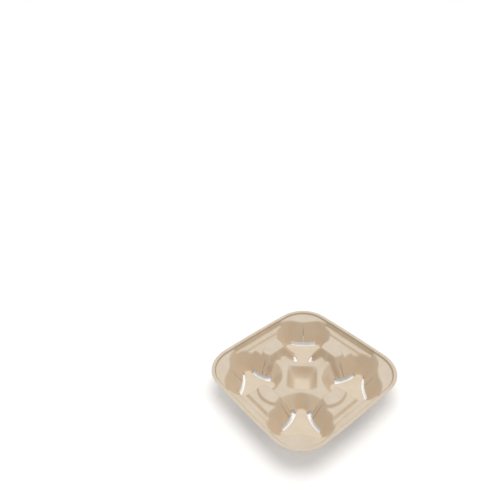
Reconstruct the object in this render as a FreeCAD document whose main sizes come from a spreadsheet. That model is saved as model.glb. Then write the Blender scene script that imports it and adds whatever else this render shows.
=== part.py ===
import FreeCAD, Part
import math
import os

# Moulded fibre cup carrier: one thin pressed sheet with a flat rim and four lobed pockets.
# Frame: origin on the standing plane under the middle, +Z up, sides along X and Y.
# Depths are measured down from the rim's top face, distances outward from the middle.

SIZES = [
    ("overall_width", 217.8, "width over the rim, at the middle of a side"),
    ("side_radius", 2000.0, "radius of the rim's slightly bowed sides"),
    ("corner_radius", 47.4, "outer corner radius of the rim"),
    ("wall", 1.2, "thickness of the pressed sheet"),
    ("rim_width", 5.0, "width of the flat rim"),
    ("rim_wall_draft", 0.27, "how far the rim wall leans in for each millimetre of depth"),
    ("pan_depth", 3.5, "depth of the corner ledges and of the four raised platforms"),
    ("shelf_depth", 8.3, "depth of the shelf around a platform"),
    ("ledge_depth", 9.5, "depth of the ledge under the rim wall"),
    ("groove_depth", 12.6, "depth of the stiffening groove"),
    ("frame_depth", 17.5, "depth of the band around the middle well"),
    ("well_depth", 35.0, "depth of the middle well"),
    ("pocket_depth", 38.0, "depth of the cup pockets"),
    ("step_run", 1.6, "how far a low step leans between its top and its foot"),
    ("side_gap", 0.8, "distance from the shelf's outer edge to the rim wall"),
    ("ledge_inner", 92.6, "distance of the ledge's inner edge from the middle"),
    ("groove_outer", 92.2, "distance of the groove's outer edge"),
    ("groove_inner", 83.3, "distance of the groove's inner edge"),
    ("side_half_run", 47.0, "half the length of the shelf and the ledge along a side"),
    ("shelf_inner", 58.0, "distance of the shelf's inner ends, inside the pockets"),
    ("platform_radius", 30.0, "radius of a platform's rounded outer edge"),
    ("platform_reach", 73.5, "distance of that edge from the middle"),
    ("frame_half", 54.5, "distance of the platforms' inner edges from the middle"),
    ("frame_lean", 4.5, "how far the wall below that edge leans in"),
    ("frame_corner", 12.0, "corner radius of the recess for the band"),
    ("well_mouth", 44.0, "width of the well at the band"),
    ("well_floor", 25.5, "width of the well's floor"),
    ("pocket_reach", 69.7, "distance of a pocket's axis from the middle, on the diagonal"),
    ("pocket_slope", 0.61, "how far a pocket's wall leans out for each millimetre of height"),
    ("lobe_radius", 5.7, "radius of the two outer lobes' rounded ends, at the floor"),
    ("neck_centre", 21.3, "distance of the inner lobe's rounded end from the axis"),
    ("outer_flap_foot", 16.8, "distance of the outer flap's foot from the axis"),
    ("outer_flap_radius", 68.0, "radius to which the outer flap's foot bulges into the pocket"),
    ("side_flap_foot", 14.0, "distance of a side flap's foot from the axis"),
    ("side_flap_radius", 54.0, "radius to which a side flap's foot bulges into the pocket"),
    ("side_flap_turn", 117.0, "direction of a side flap from the outward diagonal"),
    ("bay_reach", 40.8, "radius of the inner bay about the axis, at the band"),
    ("bay_slope", 1.25, "how far the bay's wall leans out for each millimetre of height"),
    ("bay_height", 16.0, "height of the bay below the band"),
    ("slot_height", 5.5, "height of the slots at the flaps' feet"),
    ("slot_reach", 6.0, "how far a slot reaches outward past the floor's edge"),
    ("outer_slot_span", 41.0, "length of the slot under the outer flap"),
    ("side_slot_span", 35.0, "length of the slot under a side flap"),
    ("side_slot_shift", 1.5, "how far that slot lies off the flap's middle, toward the outer flap"),
    ("slit_width", 1.0, "width of the slit in the middle of a flap"),
    ("slit_height", 15.0, "height of that slit above the floor"),
    ("slit_reach", 14.0, "how far the slit reaches outward past the floor's edge"),
]

POCKETS = 4
SIDES = 4

doc = FreeCAD.newDocument("cup_carrier")
sheet = doc.addObject("Spreadsheet::Sheet", "Sizes")
size = {}
for row, (name, value, meaning) in enumerate(SIZES, start=1):
    sheet.set(f"A{row}", name)
    sheet.set(f"B{row}", str(value))
    sheet.set(f"C{row}", meaning)
    sheet.setAlias(f"B{row}", name)
    size[name] = value
doc.recompute()

body = doc.addObject("PartDesign::Body", "carrier_tray")
body.Label = "carrier_tray"


def origin_feature(role):
    """Return the body's own origin plane or axis with this role."""
    return next(item for item in body.Origin.OriginFeatures if item.Role == role)


def point(x, y):
    """Return a point in a sketch's plane."""
    return FreeCAD.Vector(x, y, 0)


def sketch_at(name, depth, edges, turn=0.0):
    """Make a horizontal sketch of the given edges; depth is an expression below the rim."""
    sketch = body.newObject("Sketcher::SketchObject", name)
    sketch.AttachmentSupport = [(origin_feature("XY_Plane"), "")]
    sketch.MapMode = "FlatFace"
    sketch.AttachmentOffset = FreeCAD.Placement(
        FreeCAD.Vector(0, 0, 0), FreeCAD.Rotation(FreeCAD.Vector(0, 0, 1), turn))
    sketch.setExpression(".AttachmentOffset.Base.z", f"Sizes.pocket_depth + Sizes.wall - ({depth})")
    for edge in edges:
        sketch.addGeometry(edge, False)
    return sketch


def arc_about(centre, radius, start, end):
    """Circle arc about a centre, between two directions in degrees, end after start."""
    spots = []
    for angle in (start, (start + end) / 2, end):
        bend = math.radians(angle)
        spots.append(centre + point(radius * math.cos(bend), radius * math.sin(bend)))
    return Part.Arc(*spots)


def bowed_square(inset):
    """Outline of the rim moved inward: four slightly bowed sides and four tangent corners."""
    side_radius, corner_radius = size["side_radius"], size["corner_radius"]
    back = side_radius - size["overall_width"] / 2
    spread = side_radius - corner_radius
    corner = (math.sqrt(2 * spread ** 2 - back ** 2) - back) / 2
    bend = math.degrees(math.asin(corner / spread))
    edges = []
    for turn in range(0, 360, 360 // SIDES):
        across = FreeCAD.Rotation(FreeCAD.Vector(0, 0, 1), turn)
        side_centre = across.multVec(point(-back, 0))
        corner_centre = across.multVec(point(corner, corner))
        edges.append(arc_about(side_centre, side_radius - inset, turn - bend, turn + bend))
        edges.append(arc_about(corner_centre, corner_radius - inset, turn + bend, turn + 90 - bend))
    return edges


def rounded_square(half, radius):
    """Outline of a square with straight sides and, where radius isn't 0, corner arcs."""
    flat = half - radius
    edges = []
    for turn in range(0, 360, 360 // SIDES):
        across = FreeCAD.Rotation(FreeCAD.Vector(0, 0, 1), turn)
        edges.append(Part.LineSegment(across.multVec(point(half, -flat)), across.multVec(point(half, flat))))
        if radius > 0:
            edges.append(arc_about(across.multVec(point(flat, flat)), radius, turn, turn + 90))
    return edges


def strip(inner, outer, half_run):
    """Outline of a straight strip across the +X side."""
    corners = [point(inner, -half_run), point(outer, -half_run),
               point(outer, half_run), point(inner, half_run)]
    return [Part.LineSegment(corners[i], corners[(i + 1) % 4]) for i in range(4)]


def shelf(outer, half_run, radius):
    """Outline of the +X shelf: a strip whose inner edge goes round the platform."""
    centre = size["platform_reach"] - size["platform_radius"]
    inner = size["shelf_inner"]
    shoulder = math.sqrt(radius ** 2 - (inner - centre) ** 2)
    spots = [point(inner, -shoulder), point(inner, -half_run), point(outer, -half_run),
             point(outer, half_run), point(inner, half_run), point(inner, shoulder)]
    edges = [Part.LineSegment(spots[i], spots[i + 1]) for i in range(5)]
    edges.append(Part.Arc(spots[5], point(centre + radius, 0), spots[0]))
    return edges


def bearing(start, end):
    """Direction from one point to another, in degrees."""
    return math.degrees(math.atan2(end.y - start.y, end.x - start.x))


def left_crossing(first, first_radius, second, second_radius):
    """Point where two circles cross, to the left of the line from the first centre to the second."""
    apart = first.distanceToPoint(second)
    ahead = (second - first) * (1 / apart)
    reach = (first_radius ** 2 - second_radius ** 2 + apart ** 2) / (2 * apart)
    off = math.sqrt(first_radius ** 2 - reach ** 2)
    return first + ahead * reach + point(-ahead.y, ahead.x) * off


def pocket_outline(depth, grow):
    """Outline of a pocket's wall at one depth: three flaps, two outer lobes and the inner lobe.

    The arcs are tangent, so each runs from the direction of the last arc's centre to that of the
    next one's. They keep their centres at every depth. The pocket lies along the sketch's +X.
    """
    slope = size["pocket_slope"]
    lean = slope * (size["pocket_depth"] - depth) + grow * math.hypot(1, slope)
    flap_radius, side_radius = size["outer_flap_radius"], size["side_flap_radius"]
    lobe_radius = size["lobe_radius"]
    flap = point(size["outer_flap_foot"] + flap_radius, 0)
    turn = math.radians(size["side_flap_turn"])
    side = point(math.cos(turn), math.sin(turn)) * (size["side_flap_foot"] + side_radius)
    lobe = left_crossing(flap, flap_radius + lobe_radius, side, side_radius + lobe_radius)
    neck = point(-size["neck_centre"], 0)
    neck_radius = neck.distanceToPoint(side) - side_radius
    far_side, far_lobe = point(side.x, -side.y), point(lobe.x, -lobe.y)
    arcs = [
        (flap, flap_radius - lean, far_lobe, lobe),
        (lobe, lobe_radius + lean, flap, side),
        (side, side_radius - lean, lobe, neck),
        (neck, neck_radius + lean, side, far_side),
        (far_side, side_radius - lean, neck, far_lobe),
        (far_lobe, lobe_radius + lean, far_side, flap),
    ]
    shift = point(size["pocket_reach"], 0)
    edges = []
    for centre, radius, last, following in arcs:
        start = bearing(centre, last)
        sweep = math.remainder(bearing(centre, following) - start, 360)
        edges.append(arc_about(shift + centre, radius, start, start + sweep))
    return edges


def bay_outline(depth, grow):
    """Outline of a pocket's inner bay at one depth: a quarter circle toward the tray's middle."""
    slope = size["bay_slope"]
    apex = grow * math.sqrt(2)
    radius = (size["bay_reach"] - slope * (depth - size["frame_depth"])
              + grow * math.hypot(1, slope) + apex)
    centre = point(size["pocket_reach"] + apex, 0)
    arc = arc_about(centre, radius, 135, 225)
    return [Part.LineSegment(centre, arc.StartPoint), arc, Part.LineSegment(arc.EndPoint, centre)]


def flaps():
    """Direction, foot distance, foot radius, slot length and slot shift of a pocket's flaps."""
    turn, shift = size["side_flap_turn"], size["side_slot_shift"]
    outer = (0.0, size["outer_flap_foot"], size["outer_flap_radius"], size["outer_slot_span"], 0.0)
    side = (size["side_flap_foot"], size["side_flap_radius"], size["side_slot_span"])
    return [outer, (turn, *side, -shift), (-turn, *side, shift)]


def in_pocket(angle, spots):
    """Turn points about a pocket's axis and move them out to the pocket."""
    turn = FreeCAD.Rotation(FreeCAD.Vector(0, 0, 1), angle)
    return [point(size["pocket_reach"], 0) + turn.multVec(point(*spot)) for spot in spots]


def slot_outlines():
    """Outlines of a pocket's three slots: bands that follow the flaps' feet."""
    edges = []
    for angle, nearest, radius, span, shift in flaps():
        centre = nearest + radius
        outer = radius - size["slot_reach"]
        ends = [math.asin((shift + step * span / 2) / radius) for step in (-1, 0, 1)]
        along_arc = [(centre - reach * math.cos(bend), reach * math.sin(bend))
                     for reach in (radius, outer) for bend in ends]
        spots = in_pocket(angle, along_arc)
        edges.append(Part.Arc(spots[0], spots[1], spots[2]))
        edges.append(Part.LineSegment(spots[2], spots[5]))
        edges.append(Part.Arc(spots[5], spots[4], spots[3]))
        edges.append(Part.LineSegment(spots[3], spots[0]))
    return edges


def slit_outlines():
    """Outlines of a pocket's three slits, each across the middle of a flap."""
    edges = []
    half = size["slit_width"] / 2
    for angle, nearest, *_ in flaps():
        far = nearest + size["slit_reach"]
        spots = in_pocket(angle, [(nearest, -half), (far, -half), (far, half), (nearest, half)])
        edges.extend(Part.LineSegment(spots[i], spots[(i + 1) % 4]) for i in range(4))
    return edges


def loft(name, sections, kind):
    """Join sketches by straight walls, adding or removing what lies between them."""
    feature = body.newObject(f"PartDesign::{kind}Loft", name)
    feature.Profile = sections[0]
    feature.Sections = sections[1:]
    feature.Ruled = True
    feature.Refine = False
    for sketch in sections:
        sketch.Visibility = False
    body.Tip = feature
    return feature


def repeat(name, feature, copies):
    """Turn a feature about the middle."""
    pattern = body.newObject("PartDesign::PolarPattern", name)
    pattern.Originals = [feature]
    pattern.Axis = (origin_feature("Z_Axis"), [""])
    pattern.Angle = 360
    pattern.Occurrences = copies
    pattern.Refine = False
    body.Tip = pattern
    return pattern


def cut_down(name, height, edges):
    """Cut outlines straight down through the sheet, from a height above the pockets' floor."""
    feature = body.newObject("PartDesign::Pocket", name)
    feature.Profile = sketch_at(f"{name}_outline", f"Sizes.pocket_depth - {height}", edges, 45)
    feature.setExpression("Length", f"{height} + 2 * Sizes.wall")
    feature.Refine = False
    body.Tip = feature
    return feature


def press(stage, kind, grow):
    """Press every recess once: grown by the wall for the sheet's underside, or as it is."""
    deeper = " + Sizes.wall" if grow else ""
    rim = size["rim_width"]
    draft = size["rim_wall_draft"]
    lean = size["step_run"]

    def section(name, depth, edges, turn=0.0, is_floor=False):
        return sketch_at(f"{stage}_{name}", depth + (deeper if is_floor else ""), edges, turn)

    pan = [section("pan_mouth", "0", bowed_square(rim - grow)),
           section("pan_floor", "Sizes.pan_depth",
                   bowed_square(rim + draft * size["pan_depth"] - grow), is_floor=True)]
    loft(f"{stage}_pan", pan, kind)

    rim_wall = size["overall_width"] / 2 - rim - size["side_gap"] + grow
    run = size["side_half_run"] + grow
    radius = size["platform_radius"] - grow
    shelf_foot = rim_wall - draft * size["shelf_depth"]
    shelves = [section("shelf_mouth", "Sizes.pan_depth",
                       shelf(rim_wall - draft * size["pan_depth"], run, radius)),
               section("shelf_floor", "Sizes.shelf_depth",
                       shelf(shelf_foot, run, radius + lean), is_floor=True)]
    repeat(f"{stage}_shelves", loft(f"{stage}_shelf", shelves, kind), SIDES)

    inner = size["ledge_inner"] - grow
    ledges = [section("ledge_mouth", "Sizes.shelf_depth", strip(inner, shelf_foot, run)),
              section("ledge_floor", "Sizes.ledge_depth",
                      strip(inner + lean / 2, rim_wall - draft * size["ledge_depth"], run),
                      is_floor=True)]
    repeat(f"{stage}_ledges", loft(f"{stage}_ledge", ledges, kind), SIDES)

    near, far = size["groove_inner"] - grow, size["groove_outer"] + grow
    grooves = [section("groove_mouth", "Sizes.shelf_depth", strip(near, far, run)),
               section("groove_floor", "Sizes.groove_depth",
                       strip(near + lean, far - lean / 2, run), is_floor=True)]
    repeat(f"{stage}_grooves", loft(f"{stage}_groove", grooves, kind), SIDES)

    half, corner, in_lean = size["frame_half"] + grow, size["frame_corner"] + grow, size["frame_lean"]
    frame = [section("frame_mouth", "Sizes.pan_depth", rounded_square(half, corner)),
             section("frame_floor", "Sizes.frame_depth",
                     rounded_square(half - in_lean, corner - in_lean), is_floor=True)]
    loft(f"{stage}_frame", frame, kind)

    well = [section("well_mouth", "Sizes.frame_depth",
                    rounded_square(size["well_mouth"] / 2 + grow, 0), 45),
            section("well_floor", "Sizes.well_depth",
                    rounded_square(size["well_floor"] / 2 + grow, 0), 45, True)]
    loft(f"{stage}_well", well, kind)

    foot = size["frame_depth"] + size["bay_height"]
    bay = [section("bay_mouth", "Sizes.frame_depth", bay_outline(size["frame_depth"], grow), 45),
           section("bay_foot", "Sizes.frame_depth + Sizes.bay_height", bay_outline(foot + grow, grow),
                   45, True)]
    repeat(f"{stage}_bays", loft(f"{stage}_bay", bay, kind), POCKETS)

    pocket = [section("pocket_floor", "Sizes.pocket_depth",
                      pocket_outline(size["pocket_depth"] + grow, grow), 45, True),
              section("pocket_mouth", "Sizes.pan_depth", pocket_outline(size["pan_depth"], grow), 45)]
    repeat(f"{stage}_pockets", loft(f"{stage}_pocket", pocket, kind), POCKETS)


# The flat rim.
rim_sketch = sketch_at("rim_outline", "0", bowed_square(0))
rim = body.newObject("PartDesign::Pad", "rim_plate")
rim.Profile = rim_sketch
rim.setExpression("Length", "Sizes.wall")
rim.Reversed = True
body.Tip = rim

press("under", "Additive", size["wall"])
press("inner", "Subtractive", 0.0)
doc.recompute()
pressed = body.Shape.Volume

# The slots at the flaps' feet and the slits up their middles.
repeat("slots", cut_down("slot", "Sizes.slot_height", slot_outlines()), POCKETS)
repeat("slits", cut_down("slit", "Sizes.slit_height", slit_outlines()), POCKETS)

doc.recompute()
for item in doc.Objects:
    if "Invalid" in item.State or "Error" in item.State:
        raise RuntimeError(f"{item.Name} failed: {item.State}")

shape = body.Shape
if shape.isNull() or not shape.isValid() or len(shape.Solids) != 1:
    raise RuntimeError("carrier_tray is not one valid solid")
if shape.Volume >= pressed:
    raise RuntimeError("the slots and slits cut nothing")
print("faces", len(shape.Faces), "volume", round(shape.Volume), "box", shape.BoundBox)

os.makedirs("parts", exist_ok=True)
shape.exportStep("parts/carrier_tray.step")
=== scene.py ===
"""Looks of a moulded fibre cup carrier: its pressed pulp sheet, a pale floor and a plain studio."""

import logging
import math
from collections.abc import Callable
from dataclasses import dataclass, field
from enum import Enum
from typing import Any

import bmesh
import bpy
from mathutils import Matrix, Vector, noise
from mathutils.bvhtree import BVHTree


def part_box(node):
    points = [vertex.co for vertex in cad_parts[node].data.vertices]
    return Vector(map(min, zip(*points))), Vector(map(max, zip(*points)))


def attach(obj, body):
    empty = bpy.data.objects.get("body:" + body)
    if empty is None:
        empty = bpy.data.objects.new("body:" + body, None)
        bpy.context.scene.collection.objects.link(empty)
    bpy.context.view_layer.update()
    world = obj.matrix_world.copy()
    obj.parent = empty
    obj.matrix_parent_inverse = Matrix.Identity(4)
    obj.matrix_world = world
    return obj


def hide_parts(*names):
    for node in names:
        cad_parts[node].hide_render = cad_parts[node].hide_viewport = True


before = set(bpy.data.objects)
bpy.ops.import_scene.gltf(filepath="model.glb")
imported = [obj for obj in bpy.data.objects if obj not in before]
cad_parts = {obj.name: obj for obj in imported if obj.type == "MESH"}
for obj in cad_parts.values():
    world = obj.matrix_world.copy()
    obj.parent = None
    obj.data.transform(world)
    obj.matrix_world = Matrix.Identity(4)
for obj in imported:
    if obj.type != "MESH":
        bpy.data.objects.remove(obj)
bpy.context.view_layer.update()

log = logging.getLogger("cup_carrier")

TRAY_NODE = "carrier_tray"
TRAY_BODY = "root"
DIAGONAL = math.sqrt(0.5)
WHITE = (1.0, 1.0, 1.0, 1.0)

Height = Callable[[float, float], float | None]
Colour = tuple[float, float, float, float]


class Blend(Enum):
    """Ways of mixing two colours."""

    MIX = "MIX"
    MULTIPLY = "MULTIPLY"


class Maths(Enum):
    """Operations of a Math node that the finishes use."""

    ADD = "ADD"
    SUBTRACT = "SUBTRACT"
    MULTIPLY = "MULTIPLY"
    ABSOLUTE = "ABSOLUTE"
    MAXIMUM = "MAXIMUM"


class Value:
    """A number that varies over a surface: one output socket with Python's operators."""

    def __init__(self, graph: "NodeGraph", socket: bpy.types.NodeSocket) -> None:
        """Keep the graph and the socket.

        Args:
            graph: The node graph that the socket belongs to.
            socket: The output socket that gives the number.
        """
        self.graph = graph
        self.socket = socket

    def _maths(self, kind: Maths, first: Any, second: Any) -> "Value":
        """Add one Math node.

        Args:
            kind: The node's operation.
            first: The first number or value.
            second: The second number or value.

        Returns:
            The node's result.
        """
        made = self.graph.node("ShaderNodeMath", {"operation": kind.value}, {0: first, 1: second})
        return Value(self.graph, made.outputs[0])

    def __add__(self, other: Any) -> "Value":
        """Return this value plus another."""
        return self._maths(Maths.ADD, self, other)

    def __sub__(self, other: Any) -> "Value":
        """Return this value minus another."""
        return self._maths(Maths.SUBTRACT, self, other)

    def __rsub__(self, other: Any) -> "Value":
        """Return a number minus this value."""
        return self._maths(Maths.SUBTRACT, other, self)

    def __mul__(self, other: Any) -> "Value":
        """Return this value times another."""
        return self._maths(Maths.MULTIPLY, self, other)

    def __abs__(self) -> "Value":
        """Return this value without its sign."""
        return self._maths(Maths.ABSOLUTE, self, 0.0)

    def at_least(self, other: Any) -> "Value":
        """Return the larger of this value and another."""
        return self._maths(Maths.MAXIMUM, self, other)

    def fade(self, start: float, end: float) -> "Value":
        """Turn a stretch of values into a mask.

        Args:
            start: The value at which the mask is 0.
            end: The value at which the mask is 1. It may be lower than the start.

        Returns:
            The mask, 0 to 1.
        """
        made = self.graph.node("ShaderNodeMapRange", {"clamp": True}, {
            "Value": self, "From Min": start, "From Max": end})
        return Value(self.graph, made.outputs[0])

    __radd__ = __add__
    __rmul__ = __mul__


class NodeGraph:
    """A node tree under construction."""

    def __init__(self, tree: bpy.types.NodeTree) -> None:
        """Empty a node tree.

        Args:
            tree: The tree to build in.
        """
        self.tree = tree
        self.tree.nodes.clear()

    def node(self, kind: str, settings: dict[str, Any], inputs: dict[Any, Any]) -> bpy.types.Node:
        """Add a node.

        Args:
            kind: The node's Blender type.
            settings: Properties, set first. A ramp's stops are (position, colour) pairs.
            inputs: Numbers, colours, sockets or values, by socket name or index.

        Returns:
            The new node.
        """
        made = self.tree.nodes.new(kind)
        for name, setting in settings.items():
            if name == "stops":
                self._set_stops(made.color_ramp, setting)
            else:
                setattr(made, name, setting)
        for name, given in inputs.items():
            socket = made.inputs[name]
            source = given.socket if isinstance(given, Value) else given
            if isinstance(source, bpy.types.NodeSocket):
                self.tree.links.new(source, socket)
            else:
                socket.default_value = source
        return made

    @staticmethod
    def _set_stops(ramp: bpy.types.ColorRamp, stops: list[tuple[float, tuple]]) -> None:
        """Give a colour ramp its stops.

        Args:
            ramp: The ramp, which has two stops to begin with.
            stops: Pairs of position and colour.
        """
        while len(ramp.elements) < len(stops):
            ramp.elements.new(1.0)
        for element, (position, colour) in zip(ramp.elements, stops):
            element.position = position
            element.color = colour

    def noise(self, place: Any, scale: float, detail: float, kind: str = "FBM") -> Value:
        """Add a noise pattern.

        Args:
            place: The socket that gives the place on the object.
            scale: Features per metre.
            detail: Octaves.
            kind: Blender's name of the noise type.

        Returns:
            The pattern, about 0 to 1.
        """
        made = self.node("ShaderNodeTexNoise", {"noise_type": kind},
                         {"Vector": place, "Scale": scale, "Detail": detail})
        return Value(self, made.outputs[0])

    def part(self, vector: bpy.types.NodeSocket, axis: int) -> Value:
        """Take one number out of a vector.

        Args:
            vector: The vector's socket.
            axis: 0, 1 or 2 for X, Y or Z.

        Returns:
            The number.
        """
        return Value(self, self.node("ShaderNodeSeparateXYZ", {}, {0: vector}).outputs[axis])

    def ramp(self, value: Value, stops: list[tuple[float, tuple]]) -> bpy.types.NodeSocket:
        """Turn a value into a colour.

        Args:
            value: The value to look up.
            stops: Pairs of position and colour.

        Returns:
            The colour socket.
        """
        return self.node("ShaderNodeValToRGB", {"stops": stops}, {0: value}).outputs[0]

    def mix(self, how: Blend, amount: Any, first: Any, second: Any) -> bpy.types.NodeSocket:
        """Mix two colours.

        Args:
            how: The way to mix.
            amount: Share of the second colour.
            first: The first colour.
            second: The second colour.

        Returns:
            The mixed colour's socket.
        """
        made = self.node("ShaderNodeMix", {"data_type": "RGBA", "blend_type": how.value},
                         {0: amount, 6: first, 7: second})
        return made.outputs[2]


@dataclass(frozen=True)
class Pocket:
    """Where a cup pocket and the folds of its flaps lie, in metres."""

    reach: float = 0.0697
    outer_flap_foot: float = 0.0168
    side_flap_foot: float = 0.014
    side_flap_turn: float = math.radians(117)
    slope: float = 0.61
    slit_top: float = 0.0162
    fold_full: float = 0.022
    fold_top: float = 0.033
    fold_start: float = 0.001
    fold_past_foot: float = 0.003


@dataclass(frozen=True)
class PulpFinish:
    """Matt pressed paper pulp: a warm cream sheet with clouds, fine fibres and a few dark flecks,
    with painted shade on the steep walls, the rim's inner wall and the folds, and painted light on
    the floors.
    """

    cream: Colour = (0.72, 0.64, 0.535, 1.0)
    tan: Colour = (0.685, 0.59, 0.475, 1.0)
    # Painted shade: a browner tint for the steep walls.
    painted_wall_shade: Colour = (1.0, 0.93, 0.85, 1.0)
    # Painted light: brightens the floors of the pockets and the well.
    foot: Colour = (1.07, 1.075, 1.08, 1.0)
    # Painted shade: darkens the low wall inside the rim.
    painted_rim_shade: Colour = (0.72, 0.7, 0.67, 1.0)
    fleck: Colour = (0.46, 0.34, 0.23, 1.0)
    # Painted shade: darkens the folds on the flaps.
    painted_fold_shade: Colour = (0.5, 0.38, 0.27, 1.0)
    roughness: float = 0.88
    specular: float = 0.2
    cloud_scale: float = 60.0
    grain_scale: float = 1600.0
    fibre_scale: float = 420.0
    fleck_scale: float = 800.0
    grain_height: float = 0.00005
    fibre_height: float = 0.00009
    grain_dark: Colour = (0.93, 0.92, 0.9, 1.0)
    grain_share: float = 0.7
    fibre_dark: Colour = (0.96, 0.95, 0.93, 1.0)
    fibre_share: float = 0.6
    fleck_start: float = 0.7
    fleck_full: float = 0.78
    fleck_share: float = 0.4
    fold_shade_share: float = 0.8
    fold_half_width: float = 0.0008
    fold_height: float = 0.0006
    wall_start: float = 0.9
    wall_full: float = 0.5
    floor_light_top: float = 0.0075
    floor_light_fade: float = 0.002
    rim_shade_low: float = 0.0362
    rim_shade_high: float = 0.0386
    rim_shade_fade: float = 0.0006
    mesh_bands: float = 62.5
    mesh_waver: float = 0.4
    mesh_height: float = 0.00006
    pocket: Pocket = Pocket()

    def material(self) -> bpy.types.Material:
        """Build the material.

        Returns:
            The finished material.
        """
        made = bpy.data.materials.new("pressed_pulp")
        made.use_nodes = True
        graph = NodeGraph(made.node_tree)
        coordinates = graph.node("ShaderNodeTexCoord", {}, {})
        place = coordinates.outputs["Object"]
        clouds = graph.noise(place, self.cloud_scale, 4.0)
        grain = graph.noise(place, self.grain_scale, 3.0)
        fibres = graph.noise(place, self.fibre_scale, 5.0, "RIDGED_MULTIFRACTAL")
        flecks = graph.noise(place, self.fleck_scale, 1.0)
        folds = self._folds(graph, place)

        tone = graph.ramp(clouds, [(0.3, self.tan), (0.7, self.cream)])
        grain_tone = graph.ramp(grain, [(0.3, self.grain_dark), (0.65, WHITE)])
        tone = graph.mix(Blend.MULTIPLY, self.grain_share, tone, grain_tone)
        fibre_tone = graph.ramp(fibres, [(0.2, self.fibre_dark), (0.8, WHITE)])
        tone = graph.mix(Blend.MULTIPLY, self.fibre_share, tone, fibre_tone)
        fleck_mask = flecks.fade(self.fleck_start, self.fleck_full) * self.fleck_share
        tone = graph.mix(Blend.MIX, fleck_mask, tone, self.fleck)
        # Painted shade: the steep walls are tinted browner.
        painted_wall_shade = self._steep_wall_shade(graph, coordinates)
        tone = graph.mix(Blend.MULTIPLY, painted_wall_shade, tone, self.painted_wall_shade)
        # Painted light: the floors of the pockets and the well are lightened.
        tone = graph.mix(Blend.MULTIPLY, self._painted_floor_light(graph, place, painted_wall_shade), tone, self.foot)
        # Painted shade: the low wall inside the rim is darkened.
        tone = graph.mix(Blend.MULTIPLY, self._rim_wall_shade(graph, coordinates), tone, self.painted_rim_shade)
        # Painted shade: the folds are darkened.
        tone = graph.mix(Blend.MIX, folds * self.fold_shade_share, tone, self.painted_fold_shade)

        relief = (grain * self.grain_height + fibres * self.fibre_height
                  + self._mesh_print(graph, coordinates) - folds * self.fold_height)
        bump = graph.node("ShaderNodeBump", {}, {"Strength": 1.0, "Distance": 1.0, "Height": relief})
        shader = graph.node("ShaderNodeBsdfPrincipled", {}, {
            "Base Color": tone,
            "Roughness": self.roughness,
            "Specular IOR Level": self.specular,
            "Normal": bump.outputs[0],
        })
        graph.node("ShaderNodeOutputMaterial", {}, {"Surface": shader.outputs[0]})
        return made

    def _folds(self, graph: NodeGraph, place: bpy.types.NodeSocket) -> Value:
        """Mark the folds that run up the flaps from their slits; they are pressed in as a groove and
        darkened with painted shade.

        The four pockets are laid over each other, and each over its own mirror image.

        Args:
            graph: The material's graph.
            place: The place on the tray.

        Returns:
            The mask, 1 on a fold.
        """
        pocket = self.pocket
        x, y, height = (graph.part(place, axis) for axis in range(3))
        outward = (abs(x) + abs(y)) * DIAGONAL - pocket.reach
        sideways = abs(abs(x) - abs(y)) * DIAGONAL
        toward = (math.cos(pocket.side_flap_turn), math.sin(pocket.side_flap_turn))
        along_side = outward * toward[0] + sideways * toward[1]
        off_side = abs(outward * toward[1] - sideways * toward[0])
        foot = height * pocket.slope
        start, past = pocket.fold_start, pocket.fold_past_foot
        on_outer = (sideways.fade(self.fold_half_width, 0.0) * outward.fade(0.0, start)
                    * (outward - foot - pocket.outer_flap_foot).fade(past, past - start))
        on_side = (off_side.fade(self.fold_half_width, 0.0) * along_side.fade(0.0, start)
                   * (along_side - foot - pocket.side_flap_foot).fade(past, past - start))
        upward = (height.fade(pocket.slit_top - start, pocket.slit_top)
                  * height.fade(pocket.fold_top, pocket.fold_full))
        return on_outer.at_least(on_side) * upward

    def _steep_wall_shade(self, graph: NodeGraph, coordinates: bpy.types.Node) -> Value:
        """Mark the steep walls, which get painted shade: a browner tint that stands in for the shade
        on them.

        Args:
            graph: The material's graph.
            coordinates: The material's Texture Coordinate node.

        Returns:
            The mask, 1 on a steep wall.
        """
        return abs(graph.part(coordinates.outputs["Normal"], 2)).fade(self.wall_start, self.wall_full)

    def _painted_floor_light(self, graph: NodeGraph, place: bpy.types.NodeSocket, painted_wall_shade: Value) -> Value:
        """Mark the floors of the pockets and the well, which get painted light that makes them paler.

        Args:
            graph: The material's graph.
            place: The place on the tray.
            painted_wall_shade: The mask of the steep walls, which get painted shade.

        Returns:
            The mask, 1 on a floor.
        """
        low = graph.part(place, 2).fade(self.floor_light_top, self.floor_light_top - self.floor_light_fade)
        return low * (1.0 - painted_wall_shade)

    def _rim_wall_shade(self, graph: NodeGraph, coordinates: bpy.types.Node) -> Value:
        """Mark the low wall inside the rim, which gets painted shade and so stays darker.

        Args:
            graph: The material's graph.
            coordinates: The material's Texture Coordinate node.

        Returns:
            The mask, 1 on that wall.
        """
        height = graph.part(coordinates.outputs["Object"], 2)
        upward = graph.part(coordinates.outputs["Normal"], 2).fade(0.05, 0.25)
        return (height.fade(self.rim_shade_low, self.rim_shade_low + self.rim_shade_fade)
                * height.fade(self.rim_shade_high, self.rim_shade_high - self.rim_shade_fade) * upward)

    def _mesh_print(self, graph: NodeGraph, coordinates: bpy.types.Node) -> Value:
        """Print the forming screen's fine mesh into the underside.

        Args:
            graph: The material's graph.
            coordinates: The material's Texture Coordinate node.

        Returns:
            The height of the print.
        """
        wires = None
        for direction in ("X", "Y"):
            wave = graph.node("ShaderNodeTexWave", {"bands_direction": direction}, {
                "Vector": coordinates.outputs["Object"], "Scale": self.mesh_bands,
                "Distortion": self.mesh_waver})
            bands = Value(graph, wave.outputs[1])
            wires = bands if wires is None else wires + bands
        underside = graph.part(coordinates.outputs["Normal"], 2).fade(0.0, -0.2)
        return wires * underside * self.mesh_height


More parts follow.
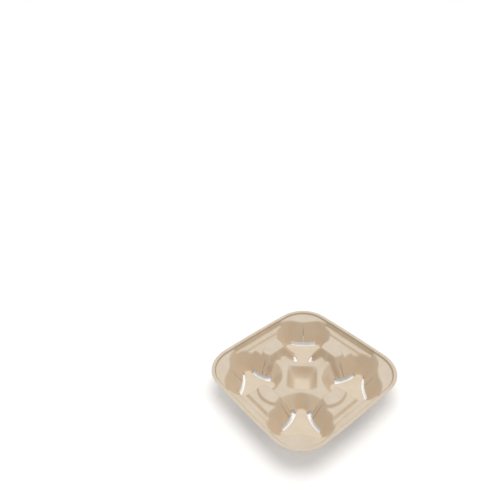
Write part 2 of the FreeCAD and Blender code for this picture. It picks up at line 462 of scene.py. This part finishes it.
@dataclass
class CarrierTray:
    """The pressed sheet: laid over the CAD solid's upper side, softened, and given its thickness."""

    pitch: float = 0.0007
    wall: float = 0.0012
    lowest_share: float = 0.9
    edge_search_steps: int = 9
    least_split: float = 0.02
    softening_passes: int = 5
    bay_passes: int = 24
    bay_inner: float = 0.044
    bay_outer: float = 0.008
    bay_half_width: float = 0.026
    bay_low: float = 0.004
    bay_high: float = 0.0205
    bay_mouth: tuple[float, float] = (0.0408, 0.0217)
    bay_foot: float = 0.0057
    bay_lean: float = 0.9
    torn_above: float = 0.0051
    torn_side: float = 0.78
    well_passes: int = 150
    well_half: float = 0.0218
    groove_passes: int = 4
    groove_inner: float = 0.079
    groove_outer: float = 0.0965
    groove_half_run: float = 0.045
    groove_high: float = 0.033
    rib_top: tuple[float, float] = (0.055, 0.0357)
    rib_foot: tuple[float, float] = (0.0465, 0.0217)
    rib_half_width: float = 0.0038
    rib_drop: float = 0.009
    slot_limit: float = 0.0935
    edge_round: float = 0.0004
    fray: float = 0.0003
    fray_scale: float = 700.0
    fray_seed: int = 7
    unevenness: float = 0.00018
    unevenness_scale: float = 28.0
    sharp_edge: float = math.radians(50)
    triangle_limit: int = 190000
    pocket: Pocket = Pocket()
    finish: PulpFinish = field(default_factory=PulpFinish)

    def build(self) -> bpy.types.Object:
        """Make the tray and let it stand for the CAD node.

        Returns:
            The finished piece.
        """
        sheet = self._upper_skin()
        self._soften(sheet)
        mesh = bpy.data.meshes.new("pulp_tray")
        sheet.to_mesh(mesh)
        sheet.free()
        tray = bpy.data.objects.new("pulp_tray", mesh)
        bpy.context.scene.collection.objects.link(tray)
        self._give_thickness(tray)
        self._shade(tray)
        tray.data.materials.append(self.finish.material())
        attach(tray, TRAY_BODY)
        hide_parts(TRAY_NODE)
        return tray

    def _cad_tree(self) -> BVHTree:
        """Make a search tree of the merged CAD mesh.

        Returns:
            The tree that the sheet is laid over.
        """
        solid = bmesh.new()
        solid.from_mesh(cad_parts[TRAY_NODE].data)
        bmesh.ops.remove_doubles(solid, verts=solid.verts, dist=1e-6)
        tree = BVHTree.FromBMesh(solid)
        solid.free()
        return tree

    def _upper_skin(self) -> bmesh.types.BMesh:
        """Lay a fine grid over the CAD solid and cut it to the rim, the slots and the slits.

        The slots' inner ends are torn open at the foot of the bays. A ray that falls past a slot's
        edge can still touch the sheet's lower side, so a hit that low counts as a miss.

        Returns:
            The open skin of the tray's upper side.
        """
        tree = self._cad_tree()
        low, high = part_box(TRAY_NODE)
        top = high.z + self.wall
        lowest = self.lowest_share * self.wall
        down = Vector((0.0, 0.0, -1.0))

        def height(x: float, y: float) -> float | None:
            """Return the height of the upper side at a place, or None past an edge."""
            hit = tree.ray_cast(Vector((x, y, top)), down)[0]
            if hit is None or hit.z < lowest:
                return None
            inward, sideways = self._from_pocket(x, y)
            bay = self._bay_height(inward, sideways)
            if bay < self.bay_foot and hit.z > self.torn_above and sideways < self.torn_side * inward:
                return None
            return min(max(hit.z, self._rib_height(x, y)), max(bay, self.bay_foot))

        span = high.x - low.x + 4 * self.pitch
        cells = round(span / self.pitch)
        skin = bmesh.new()
        bmesh.ops.create_grid(skin, x_segments=cells, y_segments=cells, size=span / 2)
        outside = set()
        for vertex in skin.verts:
            found = height(vertex.co.x, vertex.co.y)
            if found is None:
                outside.add(vertex)
            else:
                vertex.co.z = found
        border = []
        for edge in [e for e in skin.edges if (e.verts[0] in outside) != (e.verts[1] in outside)]:
            kept, cut = edge.verts if edge.verts[1] in outside else reversed(edge.verts)
            border.append(self._border_vertex(edge, kept, cut, height))
        bmesh.ops.connect_verts(skin, verts=border)
        bmesh.ops.delete(skin, geom=list(outside), context="VERTS")
        return skin

    def _rib_height(self, x: float, y: float) -> float:
        """Give the height of the small half-round rib on a platform's inner wall.

        Args:
            x: Place along X.
            y: Place along Y.

        Returns:
            The rib's height at that place, or 0 away from the ribs.
        """
        out, aside = max(abs(x), abs(y)), min(abs(x), abs(y))
        (top_out, top), (foot_out, foot) = self.rib_top, self.rib_foot
        if aside > self.rib_half_width or not foot_out < out < top_out:
            return 0.0
        share = (out - foot_out) / (top_out - foot_out)
        return foot + share * (top - foot) - self.rib_drop * (aside / self.rib_half_width) ** 2

    def _from_pocket(self, x: float, y: float) -> tuple[float, float]:
        """Measure a place from the axis of the nearest pocket.

        Args:
            x: Place along X.
            y: Place along Y.

        Returns:
            How far it lies toward the tray's middle, and how far to the side.
        """
        inward = self.pocket.reach - (abs(x) + abs(y)) * DIAGONAL
        return inward, abs(abs(x) - abs(y)) * DIAGONAL

    def _bay_height(self, inward: float, sideways: float) -> float:
        """Give the height of the wall of a pocket's inner bay, an arch that faces the well.

        Args:
            inward: Distance from the pocket's axis toward the tray's middle.
            sideways: Distance to the side.

        Returns:
            The wall's height at that place, or infinity away from the bays.
        """
        mouth_radius, mouth = self.bay_mouth
        radius = math.hypot(inward, sideways)
        if sideways > inward or radius > mouth_radius:
            return math.inf
        return mouth - (mouth_radius - radius) / self.bay_lean

    def _in_bay(self, place: Vector) -> bool:
        """Tell whether a place is on the wall of a pocket's inner bay.

        Args:
            place: The place on the skin.

        Returns:
            True on the bay's wall.
        """
        inward, sideways = self._from_pocket(place.x, place.y)
        return (self.bay_outer < inward < self.bay_inner and sideways < self.bay_half_width
                and self.bay_low < place.z < self.bay_high)

    def _in_well(self, place: Vector) -> bool:
        """Tell whether a place is on the walls of the middle well.

        Args:
            place: The place on the skin.

        Returns:
            True on the well's walls.
        """
        out, aside = abs(place.x + place.y) * DIAGONAL, abs(place.x - place.y) * DIAGONAL
        return max(out, aside) < self.well_half and place.z < self.bay_high

    def _in_groove(self, place: Vector) -> bool:
        """Tell whether a place is in the stiffening groove along a side.

        Args:
            place: The place on the skin.

        Returns:
            True in the groove and on its edges.
        """
        out, aside = max(abs(place.x), abs(place.y)), min(abs(place.x), abs(place.y))
        return (self.groove_inner < out < self.groove_outer and aside < self.groove_half_run
                and place.z < self.groove_high)

    def _border_vertex(self, edge: bmesh.types.BMEdge, kept: bmesh.types.BMVert,
                       cut: bmesh.types.BMVert, height: Height) -> bmesh.types.BMVert:
        """Split an edge where the sheet ends.

        Args:
            edge: The edge that crosses the sheet's border.
            kept: Its vertex on the sheet.
            cut: Its vertex past the border.
            height: Function that gives the sheet's height, or None past the border.

        Returns:
            The new vertex, just inside the border.
        """
        near, far, level = 0.0, 1.0, kept.co.z
        start, end = kept.co.copy(), cut.co.copy()
        for _ in range(self.edge_search_steps):
            share = (near + far) / 2
            found = height(start.x + share * (end.x - start.x), start.y + share * (end.y - start.y))
            if found is None:
                far = share
            else:
                near, level = share, found
        made = bmesh.utils.edge_split(edge, kept, max(near, self.least_split))[1]
        made.co = (start.x + near * (end.x - start.x), start.y + near * (end.y - start.y), level)
        return made

    def _soften(self, skin: bmesh.types.BMesh) -> None:
        """Round the creases, as pressed pulp does, and make the flats slightly uneven.

        Args:
            skin: The open skin, changed in place.
        """
        inner = [vertex for vertex in skin.verts if not vertex.is_boundary]
        bays = [vertex for vertex in inner if self._in_bay(vertex.co)]
        well = [vertex for vertex in inner if self._in_well(vertex.co)]
        grooves = [vertex for vertex in inner if self._in_groove(vertex.co)]
        self._wear_borders([vertex for vertex in skin.verts if vertex.is_boundary])
        for verts, passes in ((bays, self.bay_passes), (well, self.well_passes),
                              (grooves, self.groove_passes), (inner, self.softening_passes)):
            for _ in range(passes):
                bmesh.ops.smooth_vert(skin, verts=verts, factor=0.5,
                                      use_axis_x=True, use_axis_y=True, use_axis_z=True)
        for vertex in skin.verts:
            vertex.co.z += self.unevenness * noise.noise(vertex.co * self.unevenness_scale)
        bmesh.ops.recalc_face_normals(skin, faces=skin.faces)

    def _wear_borders(self, border: list[bmesh.types.BMVert]) -> None:
        """Round the rim's edge and fray the edges of the slots and slits.

        The vector noise takes its offsets from the random state, so the seed is set first.

        Args:
            border: The vertices along the skin's edges.
        """
        noise.seed_set(self.fray_seed)
        for vertex in border:
            if max(abs(vertex.co.x), abs(vertex.co.y)) > self.slot_limit:
                vertex.co.z -= self.edge_round
            else:
                vertex.co += self.fray * noise.noise_vector(vertex.co * self.fray_scale)

    def _give_thickness(self, tray: bpy.types.Object) -> None:
        """Thicken the skin downwards and thin out its triangles.

        Args:
            tray: The piece, whose mesh is replaced.
        """
        solidify = tray.modifiers.new("wall", "SOLIDIFY")
        solidify.thickness = self.wall
        solidify.offset = -1.0
        triangles = 4 * len(tray.data.polygons)
        if triangles > self.triangle_limit:
            decimate = tray.modifiers.new("thin_out", "DECIMATE")
            decimate.ratio = self.triangle_limit / triangles
        graph = bpy.context.evaluated_depsgraph_get()
        tray.data = bpy.data.meshes.new_from_object(tray.evaluated_get(graph))
        tray.modifiers.clear()

    def _shade(self, tray: bpy.types.Object) -> None:
        """Shade the sheet smoothly and keep it above the floor.

        Args:
            tray: The piece, whose mesh is changed in place.
        """
        for vertex in tray.data.vertices:
            vertex.co.z = max(vertex.co.z, 0.0)
        tray.data.polygons.foreach_set("use_smooth", [True] * len(tray.data.polygons))
        tray.data.set_sharp_from_angle(angle=self.sharp_edge)


@dataclass(frozen=True)
class Studio:
    """A white floor, soft even light and the photograph's camera."""

    floor_half: float = 8.0
    floor_gap: float = 0.0002
    floor_colour: Colour = (0.8, 0.8, 0.8, 1.0)
    floor_lift: float = 0.25
    world_strength: float = 0.5
    sun_from: tuple[float, float, float] = (0.14, 0.0, 1.0)
    sun_strength: float = 1.66
    sun_spread: float = math.radians(40)
    sun_colour: tuple[float, float, float] = (1.0, 0.985, 0.96)
    camera_place: tuple[float, float, float] = (-0.3124, -0.3390, 0.5134)
    camera_right: tuple[float, float, float] = (0.7857, -0.6135, -0.0793)
    camera_forward: tuple[float, float, float] = (0.4987, 0.7040, -0.5057)
    lens: float = 31.47
    sensor: float = 36.0

    def build(self) -> None:
        """Make the floor, the light and the camera."""
        self._floor()
        self._world()
        self._sun()
        self._camera()

    def _floor(self) -> None:
        """Lay the floor, which the camera sees white wherever it is fully lit."""
        plane = bmesh.new()
        bmesh.ops.create_grid(plane, x_segments=1, y_segments=1, size=self.floor_half,
                              matrix=Matrix.Translation((0.0, 0.0, -self.floor_gap)))
        mesh = bpy.data.meshes.new("floor")
        plane.to_mesh(mesh)
        plane.free()
        floor = bpy.data.objects.new("floor", mesh)
        bpy.context.scene.collection.objects.link(floor)
        made = bpy.data.materials.new("pale_floor")
        made.use_nodes = True
        graph = NodeGraph(made.node_tree)
        shader = graph.node("ShaderNodeBsdfDiffuse", {}, {"Color": self.floor_colour})
        lift = graph.node("ShaderNodeEmission", {}, {
            "Color": WHITE, "Strength": self._seen(graph) * self.floor_lift})
        both = graph.node("ShaderNodeAddShader", {}, {0: shader.outputs[0], 1: lift.outputs[0]})
        graph.node("ShaderNodeOutputMaterial", {}, {"Surface": both.outputs[0]})
        mesh.materials.append(made)

    @staticmethod
    def _seen(graph: NodeGraph) -> Value:
        """Mark what the camera sees, also in a gloss or through something clear.

        Args:
            graph: The floor's or the world's graph.

        Returns:
            The mask, 1 on such rays.
        """
        paths = graph.node("ShaderNodeLightPath", {}, {}).outputs
        seen = Value(graph, paths["Is Camera Ray"]).at_least(Value(graph, paths["Is Glossy Ray"]))
        return seen.at_least(Value(graph, paths["Is Transmission Ray"]))

    def _world(self) -> None:
        """Fill the room with even light."""
        world = bpy.data.worlds.new("studio")
        bpy.context.scene.world = world
        world.use_nodes = True
        graph = NodeGraph(world.node_tree)
        strength = self._seen(graph) * (1.0 - self.world_strength) + self.world_strength
        background = graph.node("ShaderNodeBackground", {}, {
            "Color": WHITE, "Strength": strength})
        graph.node("ShaderNodeOutputWorld", {}, {"Surface": background.outputs[0]})

    def _sun(self) -> None:
        """Light the tray softly from almost straight above."""
        lamp = bpy.data.lights.new("soft_sun", "SUN")
        lamp.energy = self.sun_strength
        lamp.angle = self.sun_spread
        lamp.color = self.sun_colour
        sun = bpy.data.objects.new("soft_sun", lamp)
        sun.rotation_euler = (-Vector(self.sun_from)).to_track_quat("-Z", "Y").to_euler()
        bpy.context.scene.collection.objects.link(sun)

    def _camera(self) -> None:
        """Set the camera where the photograph was taken from."""
        lens = bpy.data.cameras.new("camera")
        lens.lens = self.lens
        lens.sensor_width = self.sensor
        lens.clip_start = 0.01
        right = Vector(self.camera_right).normalized()
        back = -Vector(self.camera_forward).normalized()
        up = back.cross(right).normalized()
        turn = Matrix((right, up, back)).transposed()
        camera = bpy.data.objects.new("camera", lens)
        camera.matrix_world = Matrix.Translation(self.camera_place) @ turn.to_4x4()
        bpy.context.scene.collection.objects.link(camera)
        bpy.context.scene.camera = camera
        bpy.context.scene.view_settings.view_transform = "Standard"


def main() -> None:
    """Build the tray and the studio, and report each piece."""
    logging.basicConfig(level=logging.INFO, format="%(name)s: %(message)s")
    tray = CarrierTray().build()
    log.info("%s: %d faces", tray.name, len(tray.data.polygons))
    Studio().build()


if __name__ == "__main__":
    main()
